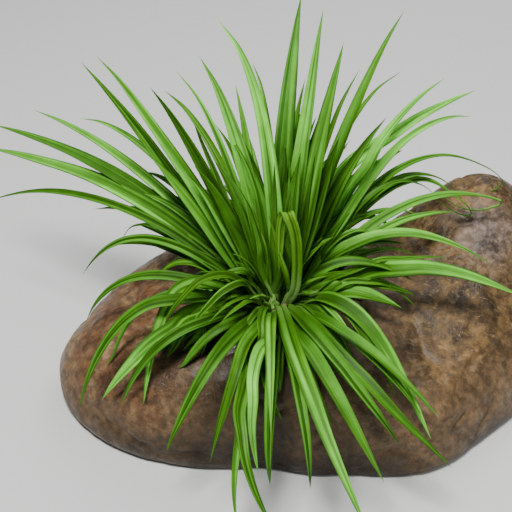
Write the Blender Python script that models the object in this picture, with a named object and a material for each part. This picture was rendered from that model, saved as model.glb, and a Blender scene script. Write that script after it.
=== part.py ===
"""A sweet flag tuft growing on a stream stone.

The frame has +Z up and its origin on the stone's flat underside, at the middle of the stone.
Bearings are seen from above: 0 points along +X, 90 along +Y and away from the front, 270 to the front.
The stone is one solid, the creeping rhizome with its gripping roots another, and each leaf its own.
A young shoot is one solid too, because its short leaves are grown together in a sheath at the foot.
"""
import math

import bmesh
import bpy
import numpy as np

MM = 0.001
TOUCHING_GAP = 0.3 * MM
SHARP_ANGLE = 50

# Stone
STONE_HALF_LENGTH = 181 * MM
STONE_HALF_DEPTH = 106 * MM
STONE_TOP = 96 * MM
STONE_FOOT_HEIGHT = 9 * MM
STONE_FOOT_INSET = 0.955
STONE_SHOULDER = 3.0
STONE_ROUNDING = 0.5
STONE_SEGMENTS = 40
STONE_RINGS = 13
# Outline lobes: bearing in degrees, how far the outline stands out there, half-width in degrees.
STONE_OUTLINE_LOBES = (
    (31, 104 * MM, 29),
    (142, 30 * MM, 26),
    (184, 11 * MM, 22),
    (212, 8 * MM, 18),
    (255, -7 * MM, 16),
    (316, 16 * MM, 18),
)
# Lumps and hollows of the top: place in X and Y, height, radius.
STONE_TOP_LUMPS = (
    (-122 * MM, 6 * MM, -8 * MM, 52 * MM),
    (-66 * MM, -26 * MM, -8 * MM, 24 * MM),
    (-78 * MM, 84 * MM, 24 * MM, 38 * MM),
    (180 * MM, 106 * MM, 104 * MM, 76 * MM),
    (98 * MM, -40 * MM, -13 * MM, 38 * MM),
    (46 * MM, 84 * MM, -12 * MM, 32 * MM),
)

# Crown: the rounded head of the rhizome, where the leaf bases crowd together
CROWN = np.array((-14 * MM, -17 * MM, 99 * MM))
CROWN_RADII = np.array((36 * MM, 27 * MM, 18 * MM))
CROWN_CLEARANCE = 1.6 * MM
CROWN_SEGMENTS = 14
CROWN_RINGS = 7
RHIZOME_RADIUS = 7.4 * MM
RHIZOME_RING_SWELL = 0.12
# Share of its radius that the creeping stem's middle lies above the stone, and its radius at the ends
STEM_RAISED = 0.25
STEM_END_SHARE = 0.25
STEM_END_SHARPNESS = 6
STEM_RINGS = 11
STEM_SIDES = 8
# The creeping stem's route and the stubs beside it, from the crown, in X and Y
STEM_ROUTE = ((-47, -13), (-24, -6), (0, 0), (25, 3), (50, -6))
STUBS = ((-27, -18, 7.0), (20, -21, 6.0), (40, 15, 6.5), (-24, 19, 6.0), (1, -25, 5.5))
STUB_SHAPE = np.array((1.15, 1.15, 1.0))
STUB_RAISED = 0.4
STUB_SEGMENTS = 8
STUB_RINGS = 5
# Gripping roots: the bearing that each leaves the crown at, its length, and how far it bends on the way
ROOTS = ((206, 82, 25), (238, 64, -30), (281, 70, 28), (318, 78, -22), (150, 66, 20), (40, 70, -25))
ROOT_START = 14
ROOT_BEND_POWER = 1.5
ROOT_RADIUS = 1.7 * MM
ROOT_TIP_RADIUS = 0.6 * MM
ROOT_RAISED = 0.55
ROOT_RINGS = 7
ROOT_SIDES = 5

# Leaves
LEAF_THICKNESS = 1.2 * MM
LEAF_TIP_THICKNESS = 0.5 * MM
LEAF_FOOT_SHARE = 0.6
LEAF_FULLNESS = 1.18
LEAF_WIDEST_AT = 0.28
LEAF_TAPER = 2.7
LEAF_STATIONS = 11
NARROW_LEAF = 5.5
NARROW_STATIONS = 9
SHOOT_STATIONS = 7
LEAF_FACING_ROLL = 32
# A leaf that hardly leans out faces the front or the back: how much its outward bearing is drawn that way
LEAF_SQUARE_TO_FRONT = 16 * MM
LEAF_ROLL_WANDER = 9
LEAF_TWIST = 26
LEAF_ABOVE_STONE = 4 * MM
WANDER_SEED = 11
SHEATH_LENGTH = 18 * MM
SHEATH_SIDES = 6
# The sheath of a shoot: how far up it each ring is, and the ring's half-width and half-thickness
SHEATH_RINGS = ((0.0, 3.4 * MM, 1.9 * MM), (0.45, 3.6 * MM, 2.0 * MM), (1.0, 2.9 * MM, 1.2 * MM))
# Share of its first step by which each further leaf of a shoot starts higher up in the sheath
FOOT_STAGGER = 0.13

# How the leaves give way to each other: the room they keep, the points along each leaf, and the rounds
CLEARANCE = 0.7 * MM
SETTLE_SAMPLES = 28
SETTLE_ROUNDS = 320
SETTLE_LOOK_AGAIN = 8
SETTLE_REACH = 16 * MM
SETTLE_CLOSE_SHARE = 0.4
SETTLE_SURE_SIDE = 0.1
SETTLE_STEP = 0.7
# A leaf moves less near its foot: its share of the move there, and where it is free to move
FOOT_FREEDOM = 0.7
FREE_FROM = 0.15

# Each leaf: launch bearing, launch rise in degrees, and how far out its knee lies; then the bearing,
# reach and height of its tip from the crown, and the width of its blade, in millimetres.
UPRIGHT_LEAVES = (
    (153, 74.5, 172, 154, 84, 192, 4.5),
    (161, 80, 174, 166, 58, 215, 9.5),
    (112, 87, 202, 155, 48, 240, 9),
    (104, 86, 180, 108, 66, 184, 5),
    (89, 73, 156, 52, 21, 260, 11),
    (52, 80, 176, 54, 50, 238, 8.5),
    (36, 76, 168, 33, 52, 218, 10),
    (42, 68, 176, 44, 128, 212, 7),
)
LEFT_LEAVES = (
    (142, 31, 157, 145, 302, 62, 9),
    (150, 37, 146, 145, 320, 32, 9.5),
    (139, 32, 167, 141, 268, 79, 6.5),
    (137, 40, 181, 139, 218, 86, 5.5),
    (156, 35.5, 179, 151, 290, 2, 5),
    (147, 44.5, 184, 147, 181, 164, 8),
    (149, 53, 191, 149, 160, 178, 7.5),
    (152, 63, 146, 152, 108, 170, 7.5),
    (205, 22, 99, 203, 148, -44, 10.5),
    (184, 41, 116, 212, 122, -42, 7),
    (195, 29, 146, 201, 165, -52, 6.5),
    (169, 21, 136, 175, 156, -28, 6),
    (159, 35, 145, 160, 172, -14, 5),
    (213, 21, 118, 206, 136, -50, 5.5),
    (186, 26, 126, 192, 138, -48, 4.5),
)
RIGHT_LEAVES = (
    (43, 53, 158, 42, 179, 138, 7.5),
    (48, 72, 134, 42, 222, 110, 8),
    (38, 53, 181, 39, 206, 96, 5.5),
    (43, 45, 188, 27, 203, 62, 5.5),
    (46, 35, 182, 24, 172, 44, 5),
    (41, 43, 170, 31, 168, 50, 6),
    (36, 50, 160, 25, 141, 62, 4.5),
    (28, 42, 146, 21, 189, 56, 6),
    (26, 47, 121, 7, 168, 28, 7),
    (6, 33, 113, 357, 189, 19, 10),
    (331, 46, 92, 319, 150, -45, 8.5),
)
FRONT_LEAVES = (
    (311, 23, 96, 319, 140, -26, 6.5),
    (308, 22, 119, 324, 148, -34, 6),
    (297, 13, 124, 314, 180, -42, 9),
    (294, 18, 122, 308, 143, -36, 7.5),
    (287, 14, 134, 298, 160, -45, 8.5),
    (275, 19, 114, 288, 196, -46, 9.5),
    (277, 12, 158, 279, 140, -54, 7),
    (266, 8, 158, 267, 132, -58, 7.5),
    (257, 24, 142, 263, 127, -52, 7.5),
    (253.5, 10, 174, 269, 176, -55, 8),
    (256, 2, 168, 260, 173, -58, 6),
    (241, 20, 122, 234, 142, -42, 8.5),
)
BACK_LEAVES = (
    (84, 36, 120, 79, 176, 10, 7.5),
    (104, 31, 126, 109, 188, -12, 8),
)
# How steeply each front leaf's foot stands on the crown: the leaves lie over one another from there.
FRONT_FOOT_RISES = (34, 40, 58, 46, 38, 54, 26, 32, 24, 16, 4, 34)

# Each young shoot: its own launch bearing and rise, and then its leaves in the same terms as above.
YOUNG_SHOOTS = (
    ((300, 66), (
        (345, 84, 141, 330, 3, 77, 7),
        (285, 76, 50, 230, 12, 97, 5.5),
        (325, 58, 34, 335, 34, 26, 5),
    )),
    ((250, 82), (
        (200, 76, 60, 180, 22, 100, 8),
        (230, 84, 80, 240, 8, 142, 6),
        (330, 80, 70, 300, 15, 122, 9),
    )),
    ((66, 62), (
        (85, 60, 128, 75, 76, 164, 6.5),
        (70, 74, 136, 62, 60, 144, 8),
        (57, 57, 116, 57, 108, 100, 4),
        (56, 66, 163, 55, 108, 164, 5),
        (49, 67, 173, 50, 152, 146, 4.5),
    )),
    ((345, 36), (
        (10, 35, 82, 358, 108, 4, 4.5),
        (325, 40, 54, 320, 72, 10, 5),
        (320, 33, 90, 319, 116, -24, 5),
    )),
    ((190, 58), (
        (185, 70, 74, 185, 64, 8, 5),
        (196, 60, 58, 200, 54, 22, 4),
        (216, 61, 76, 206, 78, 4, 4.5),
        (198, 55, 100, 202, 98, 4, 5),
    )),
    ((256, 46), (
        (250, 44, 70, 256, 64, -4, 4.5),
        (265, 38, 112, 267, 130, -9, 7),
        (252, 22, 112, 247, 131, -46, 7),
    )),
    ((122, 50), (
        (124, 40, 139, 122, 130, 108, 5.5),
        (125, 59, 152, 125, 160, 120, 6),
        (121, 72, 132, 124, 58, 174, 7),
    )),
    ((150, 22), (
        (146, 25, 150, 149, 154, 2, 5),
        (160, 32, 96, 166, 104, 2, 5),
        (143, 16, 90, 142, 112, -8, 4.5),
    )),
    ((14, 44), (
        (30, 27, 94, 21, 120, 19, 5),
        (4, 37, 85, 10, 136, 32, 4),
        (20, 47, 104, 24, 158, 47, 6),
    )),
    ((84, 24), (
        (68, 25, 110, 60, 160, 6, 6.5),
        (92, 26, 96, 96, 132, -8, 6),
        (110, 24, 84, 124, 112, -8, 5),
    )),
)


def clear_scene():
    for item in list(bpy.data.objects):
        bpy.data.objects.remove(item, do_unlink=True)


def make_material(name, colour, roughness, metallic=0.0):
    material = bpy.data.materials.new(name)
    material.use_nodes = True
    shader = material.node_tree.nodes["Principled BSDF"]
    shader.inputs["Base Color"].default_value = (*colour, 1.0)
    shader.inputs["Roughness"].default_value = roughness
    shader.inputs["Metallic"].default_value = metallic
    return material


def make_object(name, points, faces, material, smooth=True):
    mesh = bpy.data.meshes.new(name)
    mesh.from_pydata([tuple(float(value) for value in point) for point in points], [], faces)
    mesh.materials.append(material)
    if smooth:
        mesh.shade_smooth()
        mesh.set_sharp_from_angle(angle=math.radians(SHARP_ANGLE))
    item = bpy.data.objects.new(name, mesh)
    bpy.context.scene.collection.objects.link(item)
    return item


def tidy_body(item):
    """Keeps the body with the most points, without the crumbs that a cut leaves, and faces it outwards."""
    mesh = bmesh.new()
    mesh.from_mesh(item.data)
    unseen = set(mesh.verts)
    bodies = []
    while unseen:
        body = {unseen.pop()}
        edge_of_body = list(body)
        while edge_of_body:
            vertex = edge_of_body.pop()
            for edge in vertex.link_edges:
                other = edge.other_vert(vertex)
                if other in unseen:
                    unseen.remove(other)
                    body.add(other)
                    edge_of_body.append(other)
        bodies.append(body)
    largest = max(bodies, key=len)
    crumbs = [vertex for body in bodies if body is not largest for vertex in body]
    bmesh.ops.delete(mesh, geom=crumbs, context="VERTS")
    bmesh.ops.recalc_face_normals(mesh, faces=mesh.faces)
    mesh.to_mesh(item.data)
    mesh.free()


def combine(item, other, operation):
    """Applies other to item with an exact boolean, and removes it."""
    modifier = item.modifiers.new("combine", "BOOLEAN")
    modifier.operation = operation
    modifier.solver = "EXACT"
    modifier.object = other
    evaluated = item.evaluated_get(bpy.context.evaluated_depsgraph_get())
    mesh = bpy.data.meshes.new_from_object(evaluated)
    item.modifiers.clear()
    item.data = mesh
    bpy.data.objects.remove(other, do_unlink=True)


def tube(rings):
    """Points and faces of a closed form whose rings, lists of points in one order, are joined in turn."""
    sides = len(rings[0])
    points = [point for ring in rings for point in ring]
    faces = [tuple(range(sides))[::-1]]
    for start in range(0, len(points) - sides, sides):
        for side in range(sides):
            after = (side + 1) % sides
            faces.append((start + side, start + after, start + sides + after))
            faces.append((start + side, start + sides + after, start + sides + side))
    faces.append(tuple(range(len(points) - sides, len(points))))
    return points, faces


# Stone

def outline_radius(bearing):
    """Radius of the stone's outline: an ellipse with lobes."""
    ellipse = STONE_HALF_LENGTH * STONE_HALF_DEPTH / np.hypot(
        STONE_HALF_DEPTH * np.cos(bearing), STONE_HALF_LENGTH * np.sin(bearing))
    for middle, amount, spread in STONE_OUTLINE_LOBES:
        away = (np.degrees(bearing) - middle + 180) % 360 - 180
        ellipse = ellipse + amount * np.exp(-(away / spread) ** 2)
    return ellipse


def top_height(x, y):
    """Height that the stone would have without its rounded sides."""
    height = STONE_TOP
    for lump_x, lump_y, amount, radius in STONE_TOP_LUMPS:
        height = height + amount * np.exp(-((x - lump_x) ** 2 + (y - lump_y) ** 2) / radius ** 2)
    return height


def stone_height(x, y):
    """Height of the stone's upper surface over a point, and zero outside its outline."""
    share = np.clip(np.hypot(x, y) / outline_radius(np.arctan2(y, x)), 0, 1)
    rounded = (1 - share ** STONE_SHOULDER) ** STONE_ROUNDING
    return np.where(share < 1, STONE_FOOT_HEIGHT + (top_height(x, y) - STONE_FOOT_HEIGHT) * rounded, 0)


def stone_rings(grow):
    """The stone's rings from the underside to near its top, each pushed out by grow."""
    bearings = np.arange(STONE_SEGMENTS) * 2 * math.pi / STONE_SEGMENTS
    radius = outline_radius(bearings)
    rings = []
    for share, height in ((STONE_FOOT_INSET, 0.0), (1.0, STONE_FOOT_HEIGHT)):
        rings.append((share * radius + grow, np.full(STONE_SEGMENTS, height - (grow if height == 0 else 0))))
    for step in range(1, STONE_RINGS):
        share = math.cos(0.5 * math.pi * step / STONE_RINGS)
        reach = share * radius
        height = stone_height(reach * np.cos(bearings), reach * np.sin(bearings))
        rings.append((reach + grow * share, height + grow))
    return [[(r * math.cos(b), r * math.sin(b), z) for r, z, b in zip(reach, height, bearings)]
            for reach, height in rings]


def build_stone(name, material, grow=0.0):
    rings = stone_rings(grow)
    points, faces = tube(rings)
    faces.pop()
    faces.pop(0)
    points.append((0.0, 0.0, rings[0][0][2]))
    points.append((0.0, 0.0, float(stone_height(0.0, 0.0)) + grow))
    under, over = len(points) - 2, len(points) - 1
    last = len(rings) * STONE_SEGMENTS - STONE_SEGMENTS
    for segment in range(STONE_SEGMENTS):
        after = (segment + 1) % STONE_SEGMENTS
        faces.append((under, after, segment))
        faces.append((over, last + segment, last + after))
    return make_object(name, points, faces, material)


# Rhizome

def ball(name, centre, radii, material, segments, rings):
    mesh = bmesh.new()
    bmesh.ops.create_uvsphere(mesh, u_segments=segments, v_segments=rings, radius=1.0)
    points = [np.array(vertex.co) * radii + centre for vertex in mesh.verts]
    faces = [tuple(vertex.index for vertex in face.verts) for face in mesh.faces]
    mesh.free()
    return make_object(name, points, faces, material)


def rings_along(route, radii, sides):
    """Rings of the given radii square to a route, which is an array of points."""
    tangents = np.gradient(route, axis=0)
    rings = []
    for middle, tangent, radius in zip(route, tangents, radii):
        tangent = tangent / np.linalg.norm(tangent)
        across = np.cross(tangent, (0, 0, 1))
        across = across / np.linalg.norm(across)
        over = np.cross(across, tangent)
        angles = np.arange(sides) * 2 * math.pi / sides
        rings.append([middle + radius * (math.cos(a) * across + math.sin(a) * over) for a in angles])
    return rings


def smooth_through(corners, count):
    """A smooth line of count points through the corners, by a Catmull-Rom curve."""
    corners = np.array(corners, dtype=float)
    padded = np.vstack((2 * corners[0] - corners[1], corners, 2 * corners[-1] - corners[-2]))
    line = []
    for position in np.linspace(0, len(corners) - 1, count):
        start = min(int(position), len(corners) - 2)
        t = position - start
        a, b, c, d = padded[start:start + 4]
        line.append(0.5 * (2 * b + (c - a) * t + (2 * a - 5 * b + 4 * c - d) * t ** 2
                           + (3 * b - a - 3 * c + d) * t ** 3))
    return np.array(line)


def build_stem(material):
    """The creeping stem, a ringed tube that follows the stone."""
    flat = smooth_through(STEM_ROUTE, STEM_RINGS) * MM + CROWN[:2]
    raised = STEM_RAISED * RHIZOME_RADIUS
    route = np.array([(x, y, float(stone_height(x, y)) + raised) for x, y in flat])
    along = np.linspace(0, 1, STEM_RINGS)
    swell = 1 + RHIZOME_RING_SWELL * np.cos(math.pi * np.arange(STEM_RINGS))
    ends = (1 - (2 * along - 1) ** STEM_END_SHARPNESS) * (1 - STEM_END_SHARE) + STEM_END_SHARE
    points, faces = tube(rings_along(route, RHIZOME_RADIUS * swell * ends, STEM_SIDES))
    return make_object("rhizome", points, faces, material)


def build_root(name, bearing, length, bend, material):
    """A root that leaves the crown along its bearing and lies half sunk on the stone."""
    along = np.linspace(0, 1, ROOT_RINGS)
    angle = np.radians(bearing + bend * along ** ROOT_BEND_POWER)
    reach = (ROOT_START + (length - ROOT_START) * along) * MM
    x = CROWN[0] + reach * np.cos(angle)
    y = CROWN[1] + reach * np.sin(angle)
    radii = ROOT_RADIUS + (ROOT_TIP_RADIUS - ROOT_RADIUS) * along
    route = np.column_stack((x, y, stone_height(x, y) + ROOT_RAISED * radii))
    points, faces = tube(rings_along(route, radii, ROOT_SIDES))
    return make_object(name, points, faces, material)


def build_rhizome(material):
    """Creeping stem, crown, stubs and roots grown together, and cut to lie just clear of the stone."""
    rhizome = build_stem(material)
    crown = ball("crown", CROWN, CROWN_RADII - CROWN_CLEARANCE, material, CROWN_SEGMENTS, CROWN_RINGS)
    combine(rhizome, crown, "UNION")
    for x, y, radius in STUBS:
        place = CROWN[:2] + np.array((x, y)) * MM
        centre = np.array((*place, float(stone_height(*place)) + STUB_RAISED * radius * MM))
        stub = ball("stub", centre, STUB_SHAPE * radius * MM, material, STUB_SEGMENTS, STUB_RINGS)
        combine(rhizome, stub, "UNION")
    for bearing, length, bend in ROOTS:
        combine(rhizome, build_root("root", bearing, length, bend, material), "UNION")
    combine(rhizome, build_stone("stone_print", material, TOUCHING_GAP), "DIFFERENCE")
    tidy_body(rhizome)
    return rhizome


# Leaves

def direction(bearing, rise):
    bearing, rise = math.radians(bearing), math.radians(rise)
    return np.array((math.cos(bearing) * math.cos(rise), math.sin(bearing) * math.cos(rise), math.sin(rise)))


def leaf_line(row, foot):
    """Middle line of a leaf: a quadratic curve from the foot, bent at the knee, to the tip."""
    bearing, rise, knee, tip_bearing, reach, height, _ = row
    knee_point = CROWN + direction(bearing, rise) * knee * MM
    tip_angle = math.radians(tip_bearing)
    tip = CROWN + np.array((reach * math.cos(tip_angle), reach * math.sin(tip_angle), height)) * MM
    t = np.linspace(0, 1, SETTLE_SAMPLES)[:, None]
    curve = (1 - t) ** 2 * foot + 2 * t * (1 - t) * knee_point + t ** 2 * tip
    steps = np.linalg.norm(np.diff(curve, axis=0), axis=1)
    walked = np.concatenate(([0], np.cumsum(steps)))
    even = np.linspace(0, walked[-1], SETTLE_SAMPLES)
    return np.column_stack([np.interp(even, walked, curve[:, axis]) for axis in range(3)])


def leaf_half_width(width, along):
    """Half the blade's width: a narrow foot, its widest a little way up, and a long fine point."""
    opened = np.clip(along / LEAF_WIDEST_AT, 0, 1)
    foot = LEAF_FOOT_SHARE + (1 - LEAF_FOOT_SHARE) * opened * (2 - opened)
    return 0.5 * LEAF_FULLNESS * width * MM * foot * (1 - along ** LEAF_TAPER)


def leaf_half_thickness(along):
    return 0.5 * (LEAF_THICKNESS + (LEAF_TIP_THICKNESS - LEAF_THICKNESS) * along)


def leaf_frames(lines, rolls, twists):
    """Unit tangent, across and facing vectors of every sample, with each blade rolled and twisted."""
    tangents = np.gradient(lines, axis=1)
    tangents /= np.linalg.norm(tangents, axis=2, keepdims=True)
    outward = lines[:, -1] - CROWN
    flat = np.stack((-outward[:, 1], outward[:, 0], np.zeros(len(lines))), axis=1)
    flat[:, 0] += np.where(flat[:, 0] < 0, -LEAF_SQUARE_TO_FRONT, LEAF_SQUARE_TO_FRONT)
    flat /= np.linalg.norm(flat, axis=1, keepdims=True)
    level = flat[:, None] - tangents * np.sum(flat[:, None] * tangents, axis=2, keepdims=True)
    level /= np.linalg.norm(level, axis=2, keepdims=True)
    facing = np.cross(tangents, level)
    along = np.linspace(0, 1, lines.shape[1])
    angle = np.radians(rolls[:, None] + twists[:, None] * along)[:, :, None]
    across = level * np.cos(angle) + facing * np.sin(angle)
    return tangents, across, np.cross(tangents, across)


def straightened(samples, stations):
    """The matrix that turns a line's samples into samples of the straight runs between its stations."""
    chosen = station_places(samples, stations)
    return np.array([np.interp(np.arange(samples), chosen, unit[chosen]) for unit in np.eye(samples)]).T


def station_places(samples, stations):
    return np.rint(np.linspace(0, samples - 1, stations)).astype(int)


def settle(lines, widths, rolls, twists, shoots, stations):
    """Lets the leaves give way to each other, to the crown and to the stone until all are clear.

    Each leaf is a row of small flat boxes. Where two boxes of different leaves are too close, both are
    pushed apart along the axis, of their four face directions, in which they are nearest to being clear.
    Which of two leaves is on which side is read from the whole stretch over which they are close.
    """
    leaves, samples = lines.shape[:2]
    along = np.linspace(0, 1, samples)
    half_width = np.array([leaf_half_width(width, along) for width in widths]).ravel()
    half_thick = np.tile(leaf_half_thickness(along), leaves)
    owner = np.repeat(np.arange(leaves), samples)
    place = np.tile(np.arange(samples), leaves)
    lengths = np.linalg.norm(np.diff(lines, axis=1), axis=2).sum(axis=1)
    out_of_sheath = place * np.repeat(lengths, samples) / (samples - 1) > SHEATH_LENGTH
    sheathed = (shoots[owner] >= 0) & ~out_of_sheath
    half_width = np.where(sheathed, np.maximum(half_width, SHEATH_RINGS[1][1]), half_width)
    half_thick = np.where(sheathed, SHEATH_RINGS[1][2], half_thick)
    first, second = np.triu_indices(leaves * samples, 1)
    apart = owner[first] != owner[second]
    first, second = first[apart], second[apart]
    together = (shoots[owner[first]] == shoots[owner[second]]) & (shoots[owner[first]] >= 0)
    keep = ~together | (out_of_sheath[first] & out_of_sheath[second])
    first, second = first[keep], second[keep]
    freedom = np.tile(FOOT_FREEDOM + (1 - FOOT_FREEDOM) * np.clip(along / FREE_FROM, 0, 1), leaves)
    half_length = 0.5 * np.repeat(lengths, samples) / (samples - 1)
    runs = np.array([straightened(samples, count) for count in stations])
    for turn in range(SETTLE_ROUNDS):
        tangents, across, facing = [item.reshape(-1, 3) for item in leaf_frames(lines, rolls, twists)]
        points = lines.reshape(-1, 3)
        if turn % SETTLE_LOOK_AGAIN == 0:
            near = np.ones(len(first), dtype=bool)
            for axis in range(3):
                near &= np.abs(points[first, axis] - points[second, axis]) < SETTLE_REACH
            one, two = first[near], second[near]
            pair = owner[one] * leaves + owner[two]
        between = points[two] - points[one]
        closeness = np.exp(-np.sum(between ** 2, axis=1) / (SETTLE_CLOSE_SHARE * SETTLE_REACH) ** 2)
        sides = np.zeros((leaves * leaves, 3))
        np.add.at(sides, pair, between * closeness[:, None])
        sides /= np.linalg.norm(sides, axis=1, keepdims=True) + 1e-12
        best = np.full(len(one), -np.inf)
        push = np.zeros((len(one), 3))
        for axis in (facing[one], facing[two], across[one], across[two]):
            offset = np.sum(between * axis, axis=1)
            order = np.sum(sides[pair] * axis, axis=1)
            sign = np.where(np.where(np.abs(order) > SETTLE_SURE_SIDE, order, offset) < 0, -1, 1)
            room = sign * offset
            for end in (one, two):
                room = room - half_width[end] * np.abs(np.sum(across[end] * axis, axis=1))
                room = room - half_thick[end] * np.abs(np.sum(facing[end] * axis, axis=1))
                room = room - half_length[end] * np.abs(np.sum(tangents[end] * axis, axis=1))
            better = room > best
            best = np.where(better, room, best)
            push = np.where(better[:, None], axis * sign[:, None], push)
        short = np.clip(CLEARANCE - best, 0, None)
        touching = short > 0
        short, push = short[touching], push[touching]
        move = np.zeros_like(points)
        count = np.zeros(len(points))
        np.add.at(move, one[touching], -push * short[:, None])
        np.add.at(move, two[touching], push * short[:, None])
        np.add.at(count, one[touching], 1)
        np.add.at(count, two[touching], 1)
        move = SETTLE_STEP * move / np.maximum(count, 1)[:, None] * freedom[:, None]
        move = smoothed(smoothed(move.reshape(leaves, samples, 3)))
        lines = lines + move
        if turn > SETTLE_ROUNDS // 2:
            lines = np.einsum("lij,ljk->lik", runs, lines)
        for shoot in range(shoots.max() + 1):
            lines[shoots == shoot, 0] = lines[shoots == shoot, 0].mean(axis=0)
        lines = keep_outside_crown(lines)
        lines = keep_above_stone(lines)
    shortest = float(short.max(initial=0)) / MM
    print("settled with", int(touching.sum()), "close pairs left, shortest by", shortest)
    return lines


def smoothed(values):
    """Each sample's value mixed, half and half, with the mean of its two neighbours' along the leaf."""
    padded = np.concatenate((values[:, :1], values, values[:, -1:]), axis=1)
    return 0.5 * padded[:, 1:-1] + 0.25 * (padded[:, :-2] + padded[:, 2:])


def keep_outside_crown(lines):
    """Moves what has sunk into the crown back out along its radius, and holds each foot on it."""
    scaled = (lines - CROWN) / (CROWN_RADII + TOUCHING_GAP)
    size = np.linalg.norm(scaled, axis=2, keepdims=True)
    outside = np.maximum(size, 1.0)
    outside[:, 0] = 1.0
    return CROWN + scaled / size * outside * (CROWN_RADII + TOUCHING_GAP)


def keep_above_stone(lines):
    """Lifts what lies too low over the stone, and its neighbours along the leaf with it."""
    floor = stone_height(lines[:, :, 0], lines[:, :, 1]) + LEAF_ABOVE_STONE
    lift = np.maximum(floor - lines[:, :, 2], 0)
    spread = np.maximum(lift, smoothed(lift))
    spread[:, 0] = 0
    result = lines.copy()
    result[:, :, 2] += spread
    return result


def blade(name, line, across, facing, width, stations, material):
    """A leaf's solid: a lens of four points at each station, a flat foot and a sharp tip."""
    chosen = station_places(len(line), stations)
    middle, side, face = line[chosen], across[chosen], facing[chosen]
    along = chosen / (len(line) - 1)
    wide = leaf_half_width(width, along)
    thick = leaf_half_thickness(along)
    points = []
    for station in range(stations - 1):
        centre, w, n = middle[station], side[station] * wide[station], face[station] * thick[station]
        points.extend((centre - w, centre - n, centre + w, centre + n))
    points.append(middle[-1])
    faces = [(3, 2, 1, 0)]
    for start in range(0, 4 * (stations - 2), 4):
        for corner in range(4):
            after = (corner + 1) % 4
            faces.append((start + corner, start + after, start + 4 + after))
            faces.append((start + corner, start + 4 + after, start + 4 + corner))
    last, tip = 4 * (stations - 2), len(points) - 1
    for corner in range(4):
        faces.append((last + corner, last + (corner + 1) % 4, tip))
    return make_object(name, points, faces, material)


def sheath(name, foot, along, across, material):
    """The grown-together foot of a shoot: a short flattened tube that narrows to its mouth."""
    facing = np.cross(along, across)
    rings = []
    for share, wide, thick in SHEATH_RINGS:
        middle = foot + along * share * SHEATH_LENGTH
        ring = []
        for corner in range(SHEATH_SIDES):
            angle = corner * 2 * math.pi / SHEATH_SIDES
            ring.append(middle + across * math.cos(angle) * wide + facing * math.sin(angle) * thick)
        rings.append(ring)
    points, faces = tube(rings)
    return make_object(name, points, faces, material)


def station_count(width, shoot):
    if shoot >= 0:
        return SHOOT_STATIONS
    return NARROW_STATIONS if width <= NARROW_LEAF else LEAF_STATIONS


def named_rows():
    """Every leaf's name, row, foot and shoot number, with -1 for a leaf that stands alone."""
    groups = (("upright", UPRIGHT_LEAVES), ("left", LEFT_LEAVES), ("right", RIGHT_LEAVES),
              ("front", FRONT_LEAVES), ("back", BACK_LEAVES))
    rows = []
    for group, leaves in groups:
        for number, row in enumerate(leaves, 1):
            rise = FRONT_FOOT_RISES[number - 1] if group == "front" else row[1]
            foot = CROWN + direction(row[0], rise) * CROWN_RADII
            rows.append((f"leaf_{group}_{number:02d}", row, foot, -1))
    for shoot, ((bearing, rise), leaves) in enumerate(YOUNG_SHOOTS):
        foot = CROWN + direction(bearing, rise) * CROWN_RADII
        for number, row in enumerate(leaves, 1):
            rows.append((f"shoot_{shoot + 1}_leaf_{number}", row, foot, shoot))
    return rows


def build_leaves(material, shoot_material):
    rows = named_rows()
    widths = [row[-1] for _, row, _, _ in rows]
    shoots = np.array([shoot for _, _, _, shoot in rows])
    bearings = np.radians([row[3] for _, row, _, _ in rows])
    wander = np.random.default_rng(WANDER_SEED).uniform(-1, 1, (len(rows), 2))
    rolls = LEAF_FACING_ROLL * np.cos(bearings) + LEAF_ROLL_WANDER * wander[:, 0]
    twists = LEAF_TWIST * wander[:, 1]
    lines = np.array([leaf_line(row, foot) for _, row, foot, _ in rows])
    stations = [station_count(row[-1], shoot) for _, row, _, shoot in rows]
    lines = settle(lines, widths, rolls, twists, shoots, stations)
    tangents, across, facing = leaf_frames(lines, rolls, twists)
    sheaths = {}
    for index, (name, row, _, shoot) in enumerate(rows):
        if shoot < 0:
            blade(name, lines[index], across[index], facing[index], row[-1], stations[index], material)
            continue
        nth = int(name[-1])
        lines[index][0] += (lines[index][1] - lines[index][0]) * FOOT_STAGGER * nth
        piece = blade(name, lines[index], across[index], facing[index], row[-1], stations[index],
                      shoot_material)
        if shoot not in sheaths:
            foot = lines[index][0] + tangents[index][0] * TOUCHING_GAP
            mean = np.mean([tangents[other][1] for other in np.flatnonzero(shoots == shoot)], axis=0)
            mean = mean / np.linalg.norm(mean)
            flat = across[index][0] - mean * np.dot(across[index][0], mean)
            flat = flat / np.linalg.norm(flat)
            sheaths[shoot] = sheath(f"young_shoot_{shoot + 1}", foot, mean, flat, shoot_material)
        combine(sheaths[shoot], piece, "UNION")
    for piece in sheaths.values():
        tidy_body(piece)


def main():
    clear_scene()
    stone_material = make_material("wet_stone", (0.235, 0.150, 0.085), 0.42)
    rhizome_material = make_material("rhizome_bark", (0.180, 0.085, 0.045), 0.62)
    leaf_material = make_material("leaf_green", (0.075, 0.230, 0.030), 0.38)
    shoot_material = make_material("young_leaf_green", (0.120, 0.300, 0.045), 0.38)
    build_stone("stone", stone_material)
    build_rhizome(rhizome_material)
    build_leaves(leaf_material, shoot_material)


main()
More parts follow.
